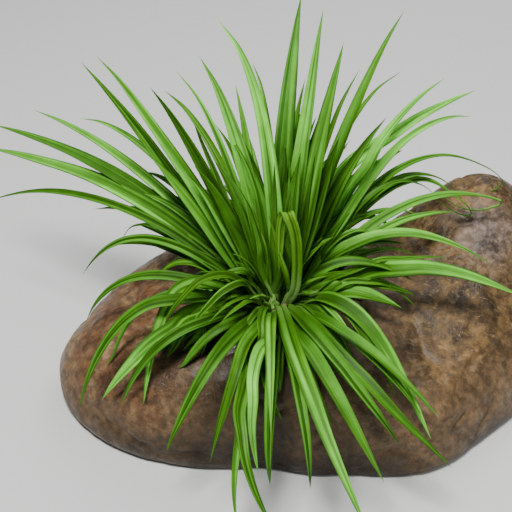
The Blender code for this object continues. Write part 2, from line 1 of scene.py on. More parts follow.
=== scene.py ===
# The looks of a sweet flag tuft that grows on a wet stream stone.
# Leaves are fine blades laid along the plain leaves of the model, and the stone is a fine relief of its form.
import math
import bpy
import numpy as np
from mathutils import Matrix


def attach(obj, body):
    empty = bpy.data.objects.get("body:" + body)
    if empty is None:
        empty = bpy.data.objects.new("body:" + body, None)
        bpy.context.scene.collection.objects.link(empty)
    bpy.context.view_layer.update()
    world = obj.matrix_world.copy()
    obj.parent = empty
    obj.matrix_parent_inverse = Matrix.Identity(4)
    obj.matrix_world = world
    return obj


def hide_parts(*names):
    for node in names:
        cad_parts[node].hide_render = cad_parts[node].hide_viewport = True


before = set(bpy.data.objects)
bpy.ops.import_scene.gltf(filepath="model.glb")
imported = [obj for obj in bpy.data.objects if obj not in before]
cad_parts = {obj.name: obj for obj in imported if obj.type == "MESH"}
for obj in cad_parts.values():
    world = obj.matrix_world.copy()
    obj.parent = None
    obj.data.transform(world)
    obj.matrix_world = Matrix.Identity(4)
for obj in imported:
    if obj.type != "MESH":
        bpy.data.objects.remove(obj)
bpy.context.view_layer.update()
mm = 0.001

# All leaves start in the crown, round its centre, and their feet are carried on into its smaller heart.
centre = np.array((-14, -17, 99)) * mm
crown = dict(
    radii=np.array((36, 27, 18)) * mm, tipsBeyond=1.4, footPoints=6,
    heart=np.array((-14, -15, 95)) * mm, heartShare=np.array((0.42, 0.36, 0.1)), heartJitter=1.6 * mm)


# General shapes

def latticeNoise(points, size, seed):
    # Random values on a cubic lattice with that spacing, blended smoothly between its corners: -1 to 1.
    table = np.random.default_rng(seed).uniform(-1, 1, (32, 32, 32))
    scaled = points / size
    low = np.floor(scaled).astype(int)
    blend = scaled - low
    blend = blend * blend * (3 - 2 * blend)
    total = np.zeros(points.shape[:-1])
    for corner in np.ndindex(2, 2, 2):
        weight = np.prod(np.where(np.array(corner) == 1, blend, 1 - blend), axis=-1)
        cell = (low + np.array(corner)) % 32
        total = total + weight * table[cell[..., 0], cell[..., 1], cell[..., 2]]
    return total


def unit(vectors):
    return vectors / (np.linalg.norm(vectors, axis=-1, keepdims=True) + 1e-12)


def squareTo(tangents, side):
    # The part of a side vector that is square to each tangent, made one long.
    return unit(side - tangents * np.sum(side * tangents, axis=1, keepdims=True))


def bearingOf(angle, rise=0.0):
    # The direction that lies so many degrees round from +X and rises by so many.
    angle, rise = math.radians(angle), math.radians(rise)
    return np.array((math.cos(angle) * math.cos(rise), math.sin(angle) * math.cos(rise), math.sin(rise)))


def splineThrough(knots, values, places):
    # A smooth line through the values at the knots: cubic runs whose slopes are the neighbours' mean slope.
    slopes = np.gradient(values, knots, axis=0)
    run = np.clip(np.searchsorted(knots, places, side="right") - 1, 0, len(knots) - 2)
    width = knots[run + 1] - knots[run]
    t = (places - knots[run]) / width
    if values.ndim > 1:
        t, width = t[:, None], width[:, None]
    start, end = values[run], values[run + 1]
    return ((2 * t ** 3 - 3 * t ** 2 + 1) * start + (t ** 3 - 2 * t ** 2 + t) * width * slopes[run]
            + (3 * t ** 2 - 2 * t ** 3) * end + (t ** 3 - t ** 2) * width * slopes[run + 1])


def walkedLength(line):
    # How far each point of a line is from its start, along the line.
    return np.concatenate(([0], np.cumsum(np.linalg.norm(np.diff(line, axis=0), axis=1))))


def closedSkin(rows, tip, around, along, look=(0, 0, 0)):
    # Rows of points round a form, joined in turn, shut by a face at the first row and by a point beyond the
    # last. Each point's map is its place around and along the form.
    count, sides = rows.shape[:2]
    points = np.vstack((rows.reshape(-1, 3), tip))
    row, side = np.meshgrid(np.arange(count - 1), np.arange(sides), indexing="ij")
    first, after = row * sides + side, row * sides + (side + 1) % sides
    faces = np.stack((first, after, after + sides, first + sides), axis=-1).reshape(-1, 4).tolist()
    last = (count - 1) * sides
    faces += [[last + k, last + (k + 1) % sides, count * sides] for k in range(sides)]
    faces.append(list(range(sides))[::-1])
    flat = np.stack(np.meshgrid(along, around, indexing="ij")[::-1], axis=-1).reshape(-1, 2)
    return dict(points=points, faces=faces, map=np.vstack((flat, (0.5, 1))),
                look=np.tile(look, (len(points), 1)))


def placed(name, data):
    # A new object, put into the scene.
    made = bpy.data.objects.new(name, data)
    bpy.context.scene.collection.objects.link(made)
    return made


def makePiece(name, skins, material, replaced=()):
    # One object of several skins, each with its points, faces, map and look, riding on the root.
    faces, start = [], 0
    for skin in skins:
        faces += [[start + corner for corner in face] for face in skin["faces"]]
        start += len(skin["points"])
    points, maps, looks = (np.vstack([skin[key] for skin in skins]) for key in ("points", "map", "look"))
    mesh = bpy.data.meshes.new(name)
    mesh.from_pydata(points.tolist(), [], faces)
    corners = np.empty(len(mesh.loops), dtype=int)
    mesh.loops.foreach_get("vertex_index", corners)
    layer = mesh.uv_layers.new(name="surface")
    layer.data.foreach_set("uv", maps[corners].astype(np.float32).ravel())
    look = mesh.attributes.new("look", "FLOAT_VECTOR", "POINT")
    look.data.foreach_set("vector", looks.astype(np.float32).ravel())
    mesh.materials.append(material)
    mesh.shade_smooth()
    mesh.validate()
    piece = placed(name, mesh)
    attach(piece, "root")
    if replaced:
        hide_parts(*replaced)


nearlyUp = (0.02, 0.01, 1)  # a little off, so that no tube runs along it


def tubeSkin(line, radii, sides, flatten=1.0, across=None, look=(0, 0, 0)):
    # A tube along a line with a pointed end: circles square to the line, or ovals where it is flattened.
    tangents = unit(np.gradient(line, axis=0))
    if across is None:
        across = unit(np.cross(tangents, nearlyUp))
    over = np.cross(tangents, across) * flatten
    angle = np.arange(sides) * 2 * math.pi / sides
    ring = (np.cos(angle)[None, :, None] * across[:, None] + np.sin(angle)[None, :, None] * over[:, None])
    rows = line[:, None] + ring * radii[:, None, None]
    along = np.linspace(0, 1, len(line))
    return closedSkin(rows[:-1], line[-1:], angle / (2 * math.pi), along[:-1], look)


# Stone

stone = dict(
    halfLength=181 * mm, halfDepth=106 * mm, top=96 * mm, footHeight=9 * mm, footInset=0.955,
    lobes=((31, 104 * mm, 29), (142, 30 * mm, 26), (184, 11 * mm, 22), (212, 8 * mm, 18), (255, -7 * mm, 16),
           (316, 16 * mm, 18)),
    lumps=((-122, 6, -8, 52), (-66, -26, -8, 24), (-78, 84, 24, 38), (180, 106, 104, 76), (98, -40, -13, 38),
           (46, 84, -12, 32)),
    bearings=440, rings=190, footSteps=(0, 0.35, 0.7), underSteps=(0.35, 0.7),
    relief=((62 * mm, 2.6 * mm, 3), (27 * mm, 1.5 * mm, 4), (11 * mm, 0.7 * mm, 5), (4.5 * mm, 0.28 * mm, 6)),
    creases=dict(size=38 * mm, depth=2.2 * mm, seed=9, width=0.09, fineSize=0.4, fineShare=0.3),
    fullRelief=25 * mm)  # from this height up, and less below it


def outlineRadius(bearing):
    # An ellipse, with lobes that stand out by a bell curve of the bearing.
    radius = stone["halfLength"] * stone["halfDepth"] / np.hypot(
        stone["halfDepth"] * np.cos(bearing), stone["halfLength"] * np.sin(bearing))
    for middle, amount, spread in stone["lobes"]:
        away = (np.degrees(bearing) - middle + 180) % 360 - 180
        radius = radius + amount * np.exp(-(away / spread) ** 2)
    return radius


def stoneHeight(x, y):
    # The top with its lumps, rounded down to the foot by the cube of the share of the way out.
    top = stone["top"]
    for lumpX, lumpY, amount, radius in stone["lumps"]:
        top = top + amount * mm * np.exp(-((x / mm - lumpX) ** 2 + (y / mm - lumpY) ** 2) / radius ** 2)
    share = np.clip(np.hypot(x, y) / outlineRadius(np.arctan2(y, x)), 0, 1)
    return stone["footHeight"] + (top - stone["footHeight"]) * np.sqrt(1 - share ** 3)


def reliefOn(points):
    # Swells, dents and grain from noise of falling size, with worn creases where a wide noise changes sign.
    total = np.zeros(points.shape[:-1])
    for size, amount, seed in stone["relief"]:
        total = total + amount * latticeNoise(points, size, seed)
    creases = stone["creases"]
    fine = latticeNoise(points, creases["fineSize"] * creases["size"], creases["seed"] + 1)
    wide = latticeNoise(points, creases["size"], creases["seed"]) + creases["fineShare"] * fine
    total = total - creases["depth"] * np.exp(-(wide / creases["width"]) ** 2)
    return total * np.clip(points[..., 2] / stone["fullRelief"], 0, 1)


def onStone(x, y, raised):
    # Places on the stone's relief, or raised above it.
    z = stoneHeight(x, y)
    place = np.stack((x, y, z), axis=-1)
    place[..., 2] += reliefOn(place) + raised
    return place


def buildStone(material):
    # Rings that shrink from the outline to the peak by the cosine of a quarter turn, moved out along the
    # surface's normal by the relief. The foot curves in below them to the flat underside.
    bearing = np.arange(stone["bearings"]) * 2 * math.pi / stone["bearings"]
    radius = outlineRadius(bearing)
    turn = 0.5 * math.pi * np.arange(stone["rings"] + 1) / stone["rings"]
    reach = np.cos(turn)[:-1, None] * radius
    x, y = reach * np.cos(bearing), reach * np.sin(bearing)
    upper = np.stack((x, y, stoneHeight(x, y)), axis=-1)
    tangentRound = np.roll(upper, -1, axis=1) - np.roll(upper, 1, axis=1)
    tangentUp = np.gradient(upper, axis=0)
    normal = unit(np.cross(tangentRound, tangentUp))
    upper = upper + normal * reliefOn(upper)[..., None]
    edge = upper[0]
    foot = np.column_stack((edge[:, :2] * stone["footInset"], np.zeros(len(edge))))
    share = np.array(stone["footSteps"])[:, None, None]
    outward = foot[None, :, :2] + (edge - foot)[None, :, :2] * np.sin(0.5 * math.pi * share)
    upward = edge[None, :, 2:] * (1 - np.cos(0.5 * math.pi * share))
    lower = np.concatenate((outward, upward), axis=-1)
    under = foot[None] * np.array(stone["underSteps"])[:, None, None]
    rows = np.concatenate((under, lower, upper))
    peak = onStone(np.zeros(1), np.zeros(1), 0.0)
    skin = closedSkin(rows, peak, bearing / (2 * math.pi), np.linspace(0, 1, len(rows)))
    makePiece("stoneSurface", [skin], material, ["stone"])


# Leaves

blade = dict(
    rows=60, bentRows=150, columns=np.array((-1, -0.88, -0.64, -0.36, -0.12, 0, 0.12, 0.36, 0.64, 0.88, 1)),
    coarseRows=34, coarseColumns=np.array((-1, -0.7, -0.2, 0, 0.2, 0.7, 1)), towardsTip=0.07,
    baseZone=14 * mm, baseMap=0.1, footNarrowing=0.8, leastHalf=0.04 * mm,
    widthGain=dict(upright=1.32, left=1.3, right=1.3, front=1.2, back=1.2, shoot=1.2, inner=1.15),
    fold=((0, 0.1, 0.3, 0.6, 1), (0.8, 0.65, 0.52, 0.45, 0.32)),  # depth of the trough per half-width
    creaseShift=0.2, creaseRound=0.004,
    thickness=((0, 0.1, 0.4, 1), (2.0, 1.5, 0.8, 0.3)),  # in millimetres, along the map
    thickestShare=0.8, leastThick=0.05 * mm, edgeThinning=0.92,
    ripple=0.35 * mm, ripples=3.1, rippleLag=0.35, rippleHalf=3 * mm, wander=0.9 * mm, bows=1.3)


def nodeMesh(node):
    # A model node's points, with doubles merged, and the neighbours of each.
    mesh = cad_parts[node].data
    points = np.empty(len(mesh.vertices) * 3)
    mesh.vertices.foreach_get("co", points)
    triangles = np.empty(len(mesh.polygons) * 3, dtype=int)
    mesh.polygons.foreach_get("vertices", triangles)
    points, merged = np.unique(np.round(points.reshape(-1, 3), 6), axis=0, return_inverse=True)
    triangles = merged.ravel()[triangles].reshape(-1, 3)
    pairs = np.vstack((triangles[:, :2], triangles[:, 1:], triangles[:, ::2]))
    neighbours = [set() for _ in points]
    for a, b in np.unique(np.sort(pairs, axis=1), axis=0).tolist():
        neighbours[a].add(b)
        neighbours[b].add(a)
    return points, neighbours


def ringsFrom(tip, neighbours):
    # Steps away from a tip, from ring to ring, as long as each has the four corners of a blade.
    seen, ring, rings = {tip}, [tip], []
    while True:
        ring = sorted(set().union(*(neighbours[corner] for corner in ring)) - seen)
        if len(ring) != 4:
            return rings
        seen.update(ring)
        rings.append(ring)


def sameWay(sides, outward):
    # Turns each side vector to point the same way as the one before it, starting from the leaf's left.
    reference = np.array((-outward[1], outward[0], 0.0))
    for station in range(len(sides)):
        if sides[station] @ reference < 0:
            sides[station] = -sides[station]
        reference = sides[station]
    return unit(sides)


def carriedTo(place, leaf):
    # The leaf carried on from its foot to a place, where it is a little narrower.
    narrowed = leaf["halfWidth"][:1] * blade["footNarrowing"]
    return dict(line=np.vstack((place, leaf["line"])), side=np.vstack((leaf["side"][:1], leaf["side"])),
                halfWidth=np.concatenate((narrowed, leaf["halfWidth"])))


def readLeaves(node):
    # Every leaf of a node: its middle line from foot to tip, its half-widths and its edges' direction.
    points, neighbours = nodeMesh(node)
    outOfCrown = np.linalg.norm((points - centre) / crown["radii"], axis=1)
    foot = points[np.argsort(outOfCrown)[:crown["footPoints"]]].mean(axis=0)
    leaves = []
    for tip in range(len(points)):
        rings = ringsFrom(tip, neighbours) if len(neighbours[tip]) == 4 else []
        if len(rings) < 4 or outOfCrown[tip] < crown["tipsBeyond"]:
            continue
        corners = points[np.array(rings[::-1])]
        middle = corners.mean(axis=1)
        apart = np.linalg.norm(corners[:, :, None] - corners[:, None], axis=-1).reshape(len(corners), -1)
        pick = apart.argmax(axis=1)
        side = corners[np.arange(len(corners)), pick // 4] - corners[np.arange(len(corners)), pick % 4]
        halfWidth = 0.5 * np.linalg.norm(side, axis=1)
        leaf = dict(line=np.vstack((middle, points[tip])), side=np.vstack((side, side[-1:])),
                    halfWidth=np.concatenate((halfWidth, [0.0])))
        if node.startswith("young"):
            leaf = carriedTo(foot, leaf)
        leaf["side"] = sameWay(leaf["side"], points[tip] - centre)
        leaves.append(leaf)
    return sorted(leaves, key=lambda leaf: -walkedLength(leaf["line"])[-1])


def inHeart(foot):
    # A foot's place in the heart: its place in the crown, drawn together.
    return crown["heart"] + (foot - centre) * crown["heartShare"]


def rooted(leaf, random):
    # Carries a leaf on from its foot into the heart of the crown, where all the bases crowd together.
    foot = leaf["line"][0]
    inner = inHeart(foot) + random.uniform(-1, 1, 3) * crown["heartJitter"]
    return dict(carriedTo(inner, leaf), base=np.linalg.norm(foot - inner) + blade["baseZone"])


def bladeSkin(leaf, look, random, kind, fold, rows=None):
    # A blade along a leaf's middle line. Across it runs from edge to edge, folded into a trough with a
    # crease, and its thickness is a lens. The base is folded tight and thick, and the tip is nearly flat.
    # Its map runs from 0 to 0.1 over the base and from there to 1 at the tip. Without rows it is coarse.
    leaf = rooted(leaf, random)
    knots = walkedLength(leaf["line"])
    length = knots[-1]
    crease = random.uniform(-blade["creaseShift"], blade["creaseShift"])
    phase = random.uniform(0, 6.28)
    wander = random.uniform(-1, 1, 2)
    along = np.linspace(0, 1, rows or blade["coarseRows"])
    along = along + blade["towardsTip"] * np.sin(math.pi * along)
    line = splineThrough(knots, leaf["line"], along * length)
    side = unit(splineThrough(knots, leaf["side"], along * length))
    half = np.clip(splineThrough(knots, leaf["halfWidth"], along * length), blade["leastHalf"], None)
    half = half * blade["widthGain"][kind]
    tangent = unit(np.gradient(line, axis=0))
    side = squareTo(tangent, side)
    facing = np.cross(tangent, side)
    bow = np.sin(2 * math.pi * (blade["bows"] * along + wander[0])) * np.sin(math.pi * along)
    line = line + side * (blade["wander"] * wander[1] * bow)[:, None]
    mapped = np.interp(along * length, (0, leaf["base"], length), (0, blade["baseMap"], 1))
    folding = np.interp(mapped, *blade["fold"]) * fold
    thick = np.interp(mapped, *blade["thickness"]) * mm
    thick = np.minimum(thick, half * blade["thickestShare"] + blade["leastThick"])
    q = blade["columns" if rows else "coarseColumns"]
    warped = q + crease * (1 - q ** 2)
    trough = (np.sqrt(q ** 2 + blade["creaseRound"]) - 0.5)[None, :] * (folding * half)[:, None]
    waves = blade["ripples"] * along[:, None] + blade["rippleLag"] * np.sign(q)
    rippled = np.sin(2 * math.pi * waves + phase) * q ** 2
    rippled = rippled * (blade["ripple"] * np.minimum(half / blade["rippleHalf"], 1))[:, None]
    middle = line[:, None] + side[:, None] * (warped * half[:, None])[..., None]
    middle = middle + facing[:, None] * (trough + rippled)[..., None]
    lens = (0.5 * thick)[:, None] * np.sqrt(1 - blade["edgeThinning"] * q ** 4)[None, :]
    upper = (middle + facing[:, None] * lens[..., None])[:, 1:-1]
    lower = middle - facing[:, None] * lens[..., None]
    lower[:, 0] = middle[:, 0]
    lower[:, -1] = middle[:, -1]
    rings = np.concatenate((lower, upper[:, ::-1]), axis=1)
    around = np.concatenate((q, q[1:-1][::-1])) * 0.5 + 0.5
    return closedSkin(rings[:-1], line[-1:], around, mapped[:-1], look)


sheath = dict(reach=15 * mm, stations=16, sides=14, flatten=0.62,
              radii=((0, 0.4, 0.8, 1), (3.0, 3.7, 3.1, 0.8)))


def sheathSkin(leaves, look):
    # The flattened tube round the grown-together foot of a shoot, from the heart to a little way up.
    foot = leaves[0]["line"][0]
    toward = unit(np.mean([leaf["line"][1] for leaf in leaves], axis=0) - foot)
    line = np.array((inHeart(foot), foot, foot + toward * sheath["reach"]))
    line = splineThrough(np.arange(3.0), line, np.linspace(0, 2, sheath["stations"]))
    radii = np.interp(np.linspace(0, 1, sheath["stations"]), *sheath["radii"]) * mm
    across = squareTo(unit(np.gradient(line, axis=0)), leaves[0]["side"][0])
    skin = tubeSkin(line, radii, sheath["sides"], sheath["flatten"], across, look)
    skin["map"] = skin["map"] * np.array((1, blade["baseMap"]))
    return skin


clearances = dict(companion=3.5 * mm, inner=2.5 * mm, fibre=0.6 * mm)


def keptAboveStone(line, clearance):
    # Lifts what would lie in the stone, with its neighbours, so that the leaf rests over it.
    need = stoneHeight(line[:, 0], line[:, 1]) + clearance - line[:, 2]
    lift = np.maximum(need, 0)
    for _ in range(3):
        padded = np.concatenate((lift[:1] * 0, lift, lift[-1:]))
        lift = np.maximum(np.maximum(need, 0), 0.5 * padded[1:-1] + 0.25 * (padded[:-2] + padded[2:]))
    raised = line.copy()
    raised[:, 2] += lift
    return raised


# Companion leaves are shorter ones beside a leaf of the model: how many each leaf of the group has, and
# ranges of degrees turned about the crown, length as a share of that leaf's, degrees leaned up, width as
# a share, and tone, which partly paints light and shade. The many at the back stand wide apart.
companions = dict(
    upright=dict(count=3, turn=(3, 14), share=(0.45, 0.8), lean=(-7, 7), width=(1.15, 1.5), tone=(-0.5, 0.0)),
    left=dict(count=2, turn=(2, 7), share=(0.4, 0.72), lean=(-3, 6), width=(1.0, 1.4), tone=(-0.5, 0.05)),
    right=dict(count=2, turn=(2, 7), share=(0.4, 0.72), lean=(-3, 6), width=(1.0, 1.4), tone=(-0.4, 0.15)),
    front=dict(count=1, turn=(2, 5), share=(0.35, 0.62), lean=(-3, 2), width=(0.8, 1.1), tone=(-0.7, -0.1)),
    back=dict(count=9, turn=(4, 42), share=(0.5, 0.98), lean=(-6, 22), width=(0.9, 1.2), tone=(-0.5, 0.1)))


def turned(vectors, turn, lean, outward):
    # Turns vectors about the upright axis by turn, and leans them up by lean towards the zenith, in degrees.
    flat = np.array((outward[0], outward[1], 0.0))
    out = flat / (np.linalg.norm(flat) + 1e-9)
    left = np.array((-out[1], out[0], 0.0))
    up = np.array((0, 0, 1.0))
    turn, lean = math.radians(turn), math.radians(lean)
    newOut = math.cos(lean) * out + math.sin(lean) * up
    newUp = math.cos(lean) * up - math.sin(lean) * out
    parts = (vectors @ out)[:, None] * newOut + (vectors @ up)[:, None] * newUp
    parts = parts + (vectors @ left)[:, None] * left
    about = np.array(((math.cos(turn), -math.sin(turn), 0), (math.sin(turn), math.cos(turn), 0), (0, 0, 1)))
    return parts @ about.T


def companionOf(leaf, group, number, random):
    # A leaf turned and leaned about the crown's middle and drawn in towards it, on either side by turns.
    turn = random.uniform(*group["turn"]) * (-1 if number % 2 else 1)
    lean = random.uniform(*group["lean"])
    share = random.uniform(*group["share"])
    outward = leaf["line"][-1] - centre
    line = centre + share * turned(leaf["line"] - centre, turn, lean, outward)
    return dict(line=keptAboveStone(line, clearances["companion"]),
                side=turned(leaf["side"], turn, lean, outward),
                halfWidth=leaf["halfWidth"] * random.uniform(*group["width"]))


# Inner leaves, in the model's terms: launch bearing, rise and knee, then the tip's bearing, reach and
# height from the crown, the blade's width in millimetres and the tone, dimmer for the steep ones deep in
# the crown as painted shade.
innerLeaves = (
    (215, 74, 38, 227, 13, 66, 5.0, 0.1), (205, 66, 22, 225, 32, 28, 4.6, 0.2),
    (185, 62, 46, 189, 62, 44, 4.6, -0.1), (205, 50, 44, 216, 66, 18, 4.2, 0.0),
    (214, 48, 40, 223, 60, 20, 5.0, 0.0), (172, 66, 40, 174, 38, 46, 5.0, -0.2),
    (340, 44, 26, 331, 39, 18, 6.0, 0.1), (185, 80, 44, 180, 14, 68, 5.5, -0.4),
    (350, 82, 46, 2, 9, 82, 5.0, -0.3), (200, 70, 60, 200, 38, 64, 6.0, -0.3),
    (20, 70, 60, 14, 44, 62, 6.0, -0.4), (150, 70, 74, 154, 50, 78, 7.0, -0.5),
    (38, 68, 78, 40, 60, 76, 7.0, -0.5), (304, 40, 44, 306, 58, 2, 6.0, -0.4),
    (236, 40, 48, 237, 62, -2, 5.5, -0.4), (225, 45, 14, 228, 17, 17, 7.0, 0.5),
    (200, 50, 13, 205, 18, 20, 6.5, 0.5), (255, 50, 14, 258, 12, 18, 6.5, 0.5),
    (235, 60, 16, 230, 7, 23, 6.5, 0.45))
# The extra leaves' tones are mostly dim, as painted shade inside the crown.
extra = dict(count=34, reach=(24, 74), rise=(34, 80), width=(4.0, 7.0), tone=(-0.6, 0.0), shyOfFront=66,
             turnStep=0.618, turnJitter=8, steepRise=55, knee=0.62, tipJitter=14)
innerShape = dict(stations=9, footShare=0.62, halfShare=0.55, opensBy=0.3, tipPower=2.7)


def grownLeaf(row):
    # A leaf from a row of terms: a quadratic curve from its foot, bent at the knee, to its tip. It opens
    # from 0.6 of its width in a parabola and then narrows by a power of the share of the way.
    bearing, rise, knee, tipBearing, reach, height, width, _ = row
    foot = centre + bearingOf(bearing, rise) * crown["radii"] * innerShape["footShare"]
    bend = centre + bearingOf(bearing, rise) * knee * mm
    tip = centre + bearingOf(tipBearing) * reach * mm + np.array((0, 0, height * mm))
    t = np.linspace(0, 1, innerShape["stations"])[:, None]
    line = keptAboveStone((1 - t) ** 2 * foot + 2 * t * (1 - t) * bend + t ** 2 * tip, clearances["inner"])
    side = squareTo(unit(np.gradient(line, axis=0)), bearingOf(tipBearing + 90))
    t = t[:, 0]
    opened = np.clip(t / innerShape["opensBy"], 0, 1)
    half = innerShape["halfShare"] * width * mm * (0.6 + 0.4 * opened * (2 - opened))
    return dict(line=line, side=side, halfWidth=half * (1 - t ** innerShape["tipPower"]))


def extraRows(random):
    # Short leaves all round the crown but for its front, at bearings spread by the golden ratio. The steep
    # ones are longer, and all droop a little below the direction in which they start.
    rows = []
    span = 180 - extra["shyOfFront"]
    for number in range(extra["count"]):
        bearing = 90 + span * (2 * (number * extra["turnStep"] % 1) - 1)
        bearing = bearing + random.uniform(-extra["turnJitter"], extra["turnJitter"])
        rise = random.uniform(*extra["rise"])
        length = random.uniform(*extra["reach"]) * (0.7 + 0.6 * (rise > extra["steepRise"]))
        reach = length * math.cos(math.radians(rise - 8))
        height = length * math.sin(math.radians(rise - 14)) - 0.1 * reach
        tipBearing = bearing + random.uniform(-extra["tipJitter"], extra["tipJitter"])
        rows.append((bearing, rise, extra["knee"] * length, tipBearing, reach, height,
                     random.uniform(*extra["width"]), random.uniform(*extra["tone"])))
    return rows


# Each leaf's look: its tone as a power of two, its yellowness, and whether its tip has dried, or its tone
# alone. The tone is partly the leaf's own green and partly painted light and shade, brighter for lit leaves
# and dimmer for shaded ones. A group has one for each leaf by number, and a shoot from its longest leaf to
# its shortest.
leafLooks = dict(
    upright=(0.4, (0.75, 0.05, 0), 0.85, 0.05, 0.55, 0.75, (0.2, 0.05, 0), (-0.05, 0.05, 0)),
    left=(0.3, 0.35, (0.35, 0.05, 0), 0.05, -0.4, (-0.1, 0.05, 0), 0.15, -0.5, (0.55, 0.05, 0), (0.5, 0.1, 0),
          -0.1, -0.1, -0.2, -0.4, -0.3),
    right=(0.75, 0.85, 0.7, 0.0, -0.2, -0.1, -0.35, 0.05, 0.15, 0.35, (0.8, 0.05, 0)),
    front=(-0.1, (-0.05, 0, 1), (0.1, 0.05, 0), -0.2, (-0.05, 0, 1), (0.5, 0.1, 0), -0.2, -0.1,
           (0.45, 0.1, 0), (-0.1, 0.05, 0), -0.05, -0.1))
shootLooks = dict(
    young_shoot_1=((-0.1, 0.6, 0), (0.0, 0.2, 0), (0.3, 0.1, 0)), young_shoot_2=(-0.35, -0.4, (-0.2, 0.1, 0)),
    young_shoot_3=(0.0, (0.1, 0.1, 0), -0.4, -0.4, 0.0), young_shoot_4=(-0.4, 0.1, (0.5, 0.3, 0)),
    young_shoot_6=(0.1, (0.5, 0.1, 0), -0.1), young_shoot_7=(0.0, (0.35, 0.1, 0), -0.1),
    young_shoot_9=((0.5, 0.1, 0), 0.0, -0.1))


def lookOf(node, number, drawn):
    # The look set for a leaf, or the drawn one where none is set.
    kind, place = node.split("_")[1:]
    looks = shootLooks.get(node, (drawn,))
    look = leafLooks[kind][int(place) - 1] if kind in leafLooks else looks[min(number, len(looks) - 1)]
    return look if isinstance(look, tuple) else (look, 0, 0)


# Three leaves of the right are drawn out into threads that curl back, as steps in millimetres from the tip.
tails = dict(
    leaf_right_04=((3, 0, -4), (1, 0, -10), (-8, 0, -16), (-17, -1, -22)),
    leaf_right_05=((1, 0, -2.5), (-1, 0, -4), (-5, 0, -4), (-13, 1, -1), (-26, 2, 9)),
    leaf_right_08=((3, 0, -1.5), (2.5, 0, -4), (-3, 0, -7), (-18, 0, -10), (-31, 1, -7), (-42, 1, 1)))
tailHalfWidth = (0.75 * mm, 0.35 * mm)

# The middle leaf of the crown folds over at its top and hangs down again behind itself: its line in
# millimetres from the crown's middle, with the half-width at each point.
foldedLeaf = dict(
    node="young_shoot_1", fold=0.3, sheathLook=(0.3, 0.6, 0),
    line=((6, -10, 13), (11.5, -13.5, 28), (13.5, -15, 48), (13.5, -16, 67), (12.5, -17.5, 81),
          (9.5, -19, 95.5), (7.2, -18.6, 101.3), (6, -17, 103.8), (4.6, -14.8, 103.6), (3.2, -13.4, 100.5),
          (1.2, -13, 93), (0, -13, 77), (0, -13, 60), (0, -12.5, 45)),
    halfWidth=(2.8, 3.2, 3.4, 3.5, 3.5, 3.7, 3.9, 4.0, 4.0, 3.8, 3.2, 2.8, 1.9, 0.0))


def withTail(leaf, steps):
    # Carries a leaf on past its tip as a thread, whose sides point the same way.
    halfWidth = np.maximum(leaf["halfWidth"], tailHalfWidth[0])
    return dict(line=np.vstack((leaf["line"], leaf["line"][-1] + np.array(steps) * mm)),
                side=np.vstack((leaf["side"], np.repeat(leaf["side"][-1:], len(steps), axis=0))),
                halfWidth=np.concatenate((halfWidth, np.linspace(*tailHalfWidth, len(steps)))))


def shapedLeaves(node):
    # A node's leaves as they are to be drawn: those of the model, with its folded one and its threads.
    leaves = readLeaves(node)
    if node in tails:
        leaves[0] = withTail(leaves[0], tails[node])
    if node == foldedLeaf["node"]:
        line = centre + np.array(foldedLeaf["line"]) * mm
        leaves[0] = dict(line=line, side=np.tile((-1.0, 0.0, 0.0), (len(line), 1)), fold=foldedLeaf["fold"],
                         halfWidth=np.array(foldedLeaf["halfWidth"]) * mm)
    return leaves


yellowness = dict(model=(0, 0.12), companion=(0, 0.1), inner=(0, 0.3))
folds = dict(model=(0.7, 1.3), companion=(0.7, 1.4), inner=(0.8, 1.5))


def buildLeaves(leafGreen, youngGreen):
    # The blades of each node with the sheath of a shoot, then the companions and the inner leaves.
    random = np.random.default_rng(5)
    beside = {group: [] for group in companions}
    for node in sorted(set(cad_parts) - {"stone", "rhizome"}):
        kind = node.split("_")[1]
        leaves = shapedLeaves(node)
        rows = blade["bentRows" if node in tails or node == foldedLeaf["node"] else "rows"]
        skins = []
        for number, leaf in enumerate(leaves):
            drawn = (random.uniform(-0.2, 0.2), random.uniform(*yellowness["model"]), 0)
            fold = leaf.get("fold", random.uniform(*folds["model"]))
            skins.append(bladeSkin(leaf, lookOf(node, number, drawn), random, kind, fold, rows))
        if kind == "shoot":
            look = foldedLeaf["sheathLook"] if node == foldedLeaf["node"] else (0, 0, 0)
            skins.append(sheathSkin(leaves, look))
            makePiece(node + "_blade", skins, youngGreen, [node])
            continue
        makePiece(node + "_blade", skins, leafGreen, [node])
        group, leaf = companions[kind], readLeaves(node)[0]
        for number in range(group["count"]):
            look = (random.uniform(*group["tone"]), random.uniform(*yellowness["companion"]), 0)
            fellow = companionOf(leaf, group, number, random)
            fold = random.uniform(*folds["companion"])
            beside[kind].append(bladeSkin(fellow, look, random, "inner", fold))
    print("leaves made")
    for kind, skins in beside.items():
        makePiece("leaves_beside_" + kind, skins, leafGreen)
    skins = []
    for row in (*innerLeaves, *extraRows(random)):
        look = (row[-1], random.uniform(*yellowness["inner"]), 0)
        skins.append(bladeSkin(grownLeaf(row), look, random, "inner", random.uniform(*folds["inner"])))
    makePiece("inner_leaves", skins, youngGreen)
    print("companion and inner leaves made")


# Rhizome

rhizome = dict(
    stem=((-47, -13), (-24, -6), (0, 0), (25, 3), (50, -6)), stemRadius=7.4 * mm, stemRings=14,
    ringHeight=0.08, stemStations=70, stemSides=20,
    headMiddle=np.array((-14, -17, 93)) * mm, headRadii=np.array((27, 20, 9)) * mm, headSeed=11,
    stubs=((-27, -18, 7.0), (20, -21, 6.0), (40, 15, 6.5), (-24, 19, 6.0), (1, -25, 5.5)),
    stubShape=np.array((1.15, 1.15, 1.0)), stubSeed=20,
    stemEnds=((6.4, -14.8, 15.8, 2.5), (-3, -13, 8, 2.6)), endStations=30, endSides=16)
ball = dict(sides=48, rings=30, lumpHeight=0.09, lumpSize=0.35)
roots = dict(  # rows of bearing, length and bend
    rows=((206, 82, 25), (238, 64, -30), (281, 70, 28), (318, 78, -22), (150, 66, 20), (40, 70, -25)),
    start=14, radius=1.7 * mm, tip=0.5 * mm, sides=9)
